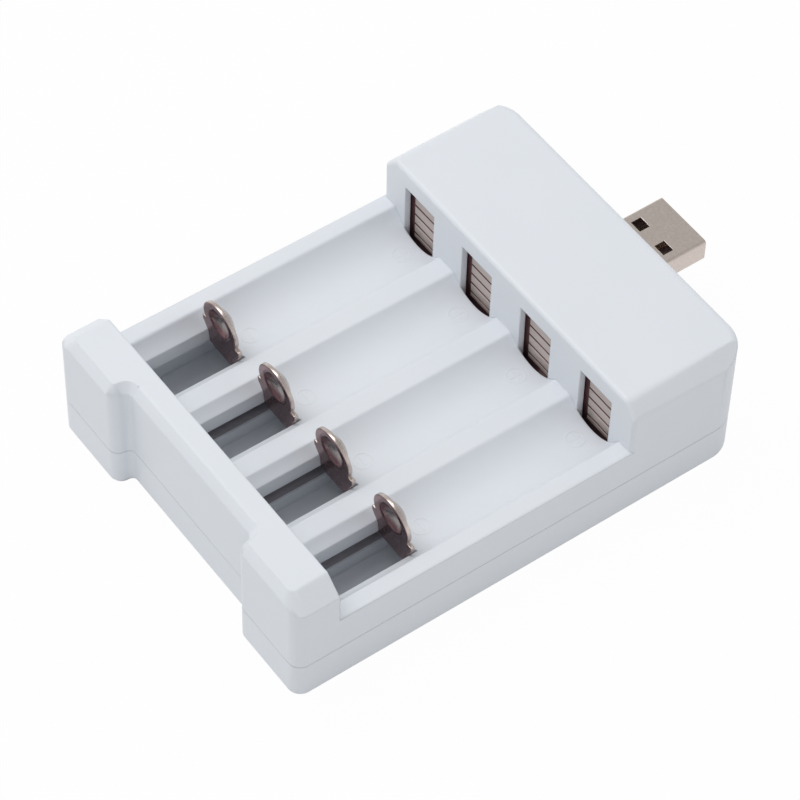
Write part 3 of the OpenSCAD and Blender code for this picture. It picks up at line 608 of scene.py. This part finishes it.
class CHARGER_OT_polarity_marks(bpy.types.Operator):
    """Model the raised plus and minus marks on the floors of the bays"""
    bl_idname = "charger.polarity_marks"
    bl_label = "Polarity marks"

    def flat_mark(self, name, place, sizes, directions):
        """A ring with bars from its middle, as a flat sheet."""
        ring_points = 64
        bpy.ops.object.select_all(action="DESELECT")
        bpy.ops.mesh.primitive_circle_add(
            vertices=ring_points, radius=sizes.mark_r, fill_type="NGON", location=place)
        piece = context_piece(name)
        with editing(piece):
            bpy.ops.mesh.inset(thickness=sizes.mark_line)
            bpy.ops.mesh.delete(type="FACE")
            bpy.ops.mesh.primitive_plane_add(size=sizes.mark_line, location=place)
            core, steps = sizes.mark_line / 2, 4
            reach = (sizes.mark_bar / 2 - core) / steps
            for direction in directions:
                bpy.ops.mesh.select_all(action="DESELECT")
                edge_at = place + core * direction
                mesh = bmesh.from_edit_mesh(piece.data)
                for edge in mesh.edges:
                    edge.select_set((middle_of(edge) - edge_at).length < core / 10)
                bmesh.update_edit_mesh(piece.data)
                for step in range(steps):
                    bpy.ops.mesh.extrude_edges_move(TRANSFORM_OT_translate={"value": reach * direction})
        return piece

    def execute(self, context):
        sizes = context.scene.charger_sizes
        across = [Vector((1, 0, 0)), Vector((-1, 0, 0))]
        along = [Vector((0, 1, 0)), Vector((0, -1, 0))]
        sunk = 0.03 * MM
        low, high = (Vector(corner) for corner in OPENINGS["bay_1"])
        for kind, y, directions in (("plus", sizes.plus_y, across + along), ("minus", sizes.minus_y, across)):
            first = self.flat_mark(f"{kind}_mark_1", Vector(((low.x + high.x) / 2, y, high.z)), sizes, directions)
            apply_modifier(
                first, "SHRINKWRAP", target=bpy.data.objects["upper_case"], wrap_method="PROJECT",
                use_project_z=True, use_positive_direction=False, use_negative_direction=True, offset=-sunk)
            apply_modifier(first, "SOLIDIFY", thickness=sizes.mark_h + sunk, offset=1)
            apply_modifier(first, "BEVEL", width=sizes.mark_h / 2, segments=2, use_clamp_overlap=False)
            bpy.ops.object.shade_smooth_by_angle(angle=math.radians(50))
            for bay in BAYS:
                piece = first
                if bay > 1:
                    piece = bpy.data.objects.new(f"{kind}_mark_{bay}", first.data.copy())
                    piece.data.transform(Matrix.Translation((OPENINGS[f"bay_{bay}"][0][0] - low.x, 0, 0)))
                    context.scene.collection.objects.link(piece)
                seat(piece, finish_of(fine_white_abs), "case_abs", "case")
        return {"FINISHED"}


class CHARGER_OT_plug(bpy.types.Operator):
    """Model the plug: steel sleeve, plastic tongue and gold strips"""
    bl_idname = "charger.plug"
    bl_label = "Plug"

    def execute(self, context):
        sizes = context.scene.charger_sizes
        for node, name, width, make, slot in (
                ("usb_shell", "plug_sleeve", sizes.plug_edge, rolled_plug_steel, "plug_steel"),
                ("usb_insulator", "plug_tongue", sizes.small_edge, moulded_plug_plastic, "plug_insulator"),
                ("usb_contacts", "plug_strips", sizes.small_edge / 2, gold_plated_strip, "plug_contacts")):
            piece = merged_copy(node, name)
            round_edges(piece, width)
            seat(piece, finish_of(make), slot, "case", node)
        return {"FINISHED"}


class CHARGER_OT_electronics(bpy.types.Operator):
    """Model the circuit board with its chip and capacitors"""
    bl_idname = "charger.electronics"
    bl_label = "Electronics"

    def execute(self, context):
        sizes = context.scene.charger_sizes
        for node, name, make, slot in (
                ("circuit_board", "charging_board", masked_laminate, "board_laminate"),
                ("charge_chip", "charging_chip", epoxy_chip, "chip_moulding"),
                ("board_parts", "chip_capacitors", ceramic_capacitor, "chip_capacitors")):
            piece = merged_copy(node, name)
            round_edges(piece, sizes.small_edge, segments=2)
            seat(piece, finish_of(make), slot, "case", node)
        return {"FINISHED"}


class CHARGER_OT_fixed_contacts(bpy.types.Operator):
    """Model the ribbed positive plates and the strip that joins the springs"""
    bl_idname = "charger.fixed_contacts"
    bl_label = "Fixed contacts"

    def add_sheet(self, piece, low, high, sizes):
        """Add the sheet behind a plate's bands, which shows beside and below them."""
        # The sheet lies behind the bands' front, so it takes the brown painted shade of the grooves.
        groove_d, sheet_t = 0.33 * MM, 0.24 * MM
        corner = Vector((low.x - sizes.plate_side, low.y + groove_d, low.z - sizes.plate_foot))
        size = Vector((high.x + sizes.plate_side, low.y + groove_d + sheet_t, high.z)) - corner
        with editing(piece, "DESELECT"):
            bpy.ops.mesh.primitive_cube_add(size=1, location=corner + size / 2, scale=size)

    def execute(self, context):
        sizes = context.scene.charger_sizes
        front_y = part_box("positive_contact_1")[0].y

        def share(edge):
            """The whole rounding on the bands' front, and less on the rest."""
            return 1 if middle_of(edge).y < front_y + TOUCH else sizes.small_edge / sizes.band_edge

        for bay in BAYS:
            node = f"positive_contact_{bay}"
            piece = merged_copy(node, f"positive_plate_{bay}")
            self.add_sheet(piece, *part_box(node), sizes)
            round_edges(piece, sizes.band_edge, share)
            seat(piece, finish_of(matt_nickel), "contact_nickel", "case", node)
        piece = merged_copy("negative_bus", "negative_strip")
        round_edges(piece, sizes.small_edge)
        seat(piece, finish_of(stamped_nickel), "contact_nickel", "case", "negative_bus")
        return {"FINISHED"}


class CHARGER_OT_sliding_contacts(bpy.types.Operator):
    """Model the four sliding contacts"""
    bl_idname = "charger.sliding_contacts"
    bl_label = "Sliding contacts"

    def execute(self, context):
        sizes = context.scene.charger_sizes
        pressed = math.radians(75)

        def share(edge):
            """The whole rounding where the dish is pressed, and less on the square stamped edges."""
            at_dish = edge.calc_face_angle() < pressed
            return 1 if at_dish else sizes.sheet_edge / sizes.dish_edge

        for bay in BAYS:
            piece = merged_copy(f"slider_contact_{bay}", f"sliding_contact_{bay}")
            round_edges(piece, sizes.dish_edge, share)
            seat(piece, finish_of(tarnish_and_painted_light_nickel), "contact_nickel", f"slider_{bay}", f"slider_contact_{bay}")
        return {"FINISHED"}


class CHARGER_OT_springs(bpy.types.Operator):
    """Model the springs that pull the sliding contacts towards the cells"""
    bl_idname = "charger.springs"
    bl_label = "Springs"

    def execute(self, context):
        for bay in BAYS:
            node = f"slider_spring_{bay}"
            piece = merged_copy(node, f"pull_spring_{bay}")
            apply_modifier(piece, "SUBSURF", levels=1, render_levels=1)
            bpy.ops.object.shade_smooth()
            piece.data.materials.clear()
            piece.data.materials.append(finish_of(drawn_spring_wire))
            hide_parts(node)
            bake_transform(piece)
        return {"FINISHED"}


class CHARGER_OT_screws(bpy.types.Operator):
    """Model the screws that hold the shells together"""
    bl_idname = "charger.screws"
    bl_label = "Screws"

    def execute(self, context):
        sizes = context.scene.charger_sizes
        piece = merged_copy("case_screws", "case_screw_set")
        round_edges(piece, sizes.small_edge)
        seat(piece, finish_of(zinc_plated_steel), "screw_steel", "case", "case_screws")
        return {"FINISHED"}


class CHARGER_OT_stage(bpy.types.Operator):
    """Set up the floor, the room's light and the camera"""
    bl_idname = "charger.stage"
    bl_label = "Stage"

    def floor(self, stage):
        """A pale floor that reads white to the eye and in the metal, and still takes the object's shadow."""
        drop = 0.02 * MM
        bpy.ops.object.select_all(action="DESELECT")
        bpy.ops.mesh.primitive_plane_add(size=stage.floor_size, location=(0, 0, -drop))
        floor = context_piece("studio_floor")
        material = bpy.data.materials.new("pale_paper_floor")
        material.use_nodes = True
        tree = material.node_tree
        tree.nodes.clear()
        paper = add_node(tree, "ShaderNodeBsdfDiffuse", {"Color": stage.floor_white})
        glow = add_node(tree, "ShaderNodeEmission", {"Strength": 1.0})
        ray = add_node(tree, "ShaderNodeLightPath")
        seen = add_node(tree, "ShaderNodeMath", {
            0: ray.outputs["Is Camera Ray"], 1: ray.outputs["Is Glossy Ray"]}, operation="MAXIMUM")
        shown = add_node(tree, "ShaderNodeMath", {
            0: seen.outputs[0], 1: ray.outputs["Is Transmission Ray"]}, operation="MAXIMUM")
        part = add_node(tree, "ShaderNodeMath", {0: shown.outputs[0], 1: stage.floor_glow}, operation="MULTIPLY")
        surface = add_node(tree, "ShaderNodeMixShader", {
            0: part.outputs[0], 1: paper.outputs["BSDF"], 2: glow.outputs["Emission"]})
        add_node(tree, "ShaderNodeOutputMaterial", {"Surface": surface.outputs["Shader"]})
        floor.data.materials.append(material)

    def room(self, stage):
        """A white room with a greyer ceiling, and one softbox above the object."""
        world = bpy.data.worlds.new("white_room")
        world.use_nodes = True
        tree = world.node_tree
        tree.nodes.clear()
        direction = add_node(tree, "ShaderNodeTexCoord").outputs["Generated"]
        parts = add_node(tree, "ShaderNodeSeparateXYZ", {"Vector": direction})
        light = add_node(tree, "ShaderNodeMapRange", {
            "Value": parts.outputs["Z"], "To Min": stage.horizon, "To Max": stage.zenith})
        sky = add_node(tree, "ShaderNodeBackground", {
            "Color": (1, 1, 1, 1), "Strength": light.outputs["Result"]})
        add_node(tree, "ShaderNodeOutputWorld", {"Surface": sky.outputs["Background"]})
        bpy.context.scene.world = world
        place = Vector(stage.softbox_place)
        bpy.ops.object.light_add(type="AREA", location=place, rotation=place.to_track_quat("Z", "Y").to_euler())
        lamp = bpy.context.active_object
        lamp.name = "softbox"
        lamp.data.size = stage.softbox_size
        lamp.data.energy = stage.softbox_w

    def camera(self, stage):
        """A camera at the picture's angle."""
        sensor_mm, near_clip = 36, 10 * MM
        around, above = stage.azimuth, stage.elevation
        back = Vector((math.sin(around) * math.cos(above), -math.cos(around) * math.cos(above), math.sin(above)))
        right = Vector((math.cos(around), math.sin(around), 0))
        turn = Matrix((right, back.cross(right), back)).transposed() @ Matrix.Rotation(stage.roll, 3, "Z")
        bpy.ops.object.camera_add(location=stage.place, rotation=turn.to_euler())
        camera = bpy.context.active_object
        camera.data.sensor_width = sensor_mm
        camera.data.lens = stage.focal_px / stage.picture_px * sensor_mm
        camera.data.clip_start = near_clip
        bpy.context.scene.camera = camera

    def execute(self, context):
        stage = context.scene.charger_stage
        context.scene.view_settings.view_transform = "Standard"
        self.floor(stage)
        self.room(stage)
        self.camera(stage)
        return {"FINISHED"}


OPERATORS = (
    CHARGER_OT_shells, CHARGER_OT_polarity_marks, CHARGER_OT_plug, CHARGER_OT_electronics,
    CHARGER_OT_fixed_contacts, CHARGER_OT_sliding_contacts, CHARGER_OT_springs, CHARGER_OT_screws, CHARGER_OT_stage)
GROUPS = {
    "charger_sizes": CHARGER_PG_sizes, "charger_colours": CHARGER_PG_colours, "charger_stage": CHARGER_PG_stage}


class CHARGER_PT_sidebar(bpy.types.Panel):
    """Sizes, colours and pieces of the charger"""
    bl_idname = "CHARGER_PT_sidebar"
    bl_label = "Battery charger"
    bl_space_type = "VIEW_3D"
    bl_region_type = "UI"
    bl_category = "Charger"

    def draw(self, context):
        for operator in OPERATORS:
            self.layout.operator(operator.bl_idname)
        for name, group in GROUPS.items():
            box = self.layout.box()
            for value in group.__annotations__:
                box.prop(getattr(context.scene, name), value)


def register():
    for group in GROUPS.values():
        bpy.utils.register_class(group)
    for name, group in GROUPS.items():
        setattr(bpy.types.Scene, name, bpy.props.PointerProperty(type=group))
    for operator in OPERATORS:
        bpy.utils.register_class(operator)
    bpy.utils.register_class(CHARGER_PT_sidebar)


def unregister():
    bpy.utils.unregister_class(CHARGER_PT_sidebar)
    for operator in reversed(OPERATORS):
        bpy.utils.unregister_class(operator)
    for name in GROUPS:
        delattr(bpy.types.Scene, name)
    for group in reversed(list(GROUPS.values())):
        bpy.utils.unregister_class(group)


def main():
    register()
    bpy.ops.charger.shells()
    bpy.ops.charger.polarity_marks()
    bpy.ops.charger.plug()
    bpy.ops.charger.electronics()
    bpy.ops.charger.fixed_contacts()
    bpy.ops.charger.sliding_contacts()
    bpy.ops.charger.springs()
    bpy.ops.charger.screws()
    bpy.ops.charger.stage()


if __name__ == "__main__":
    main()
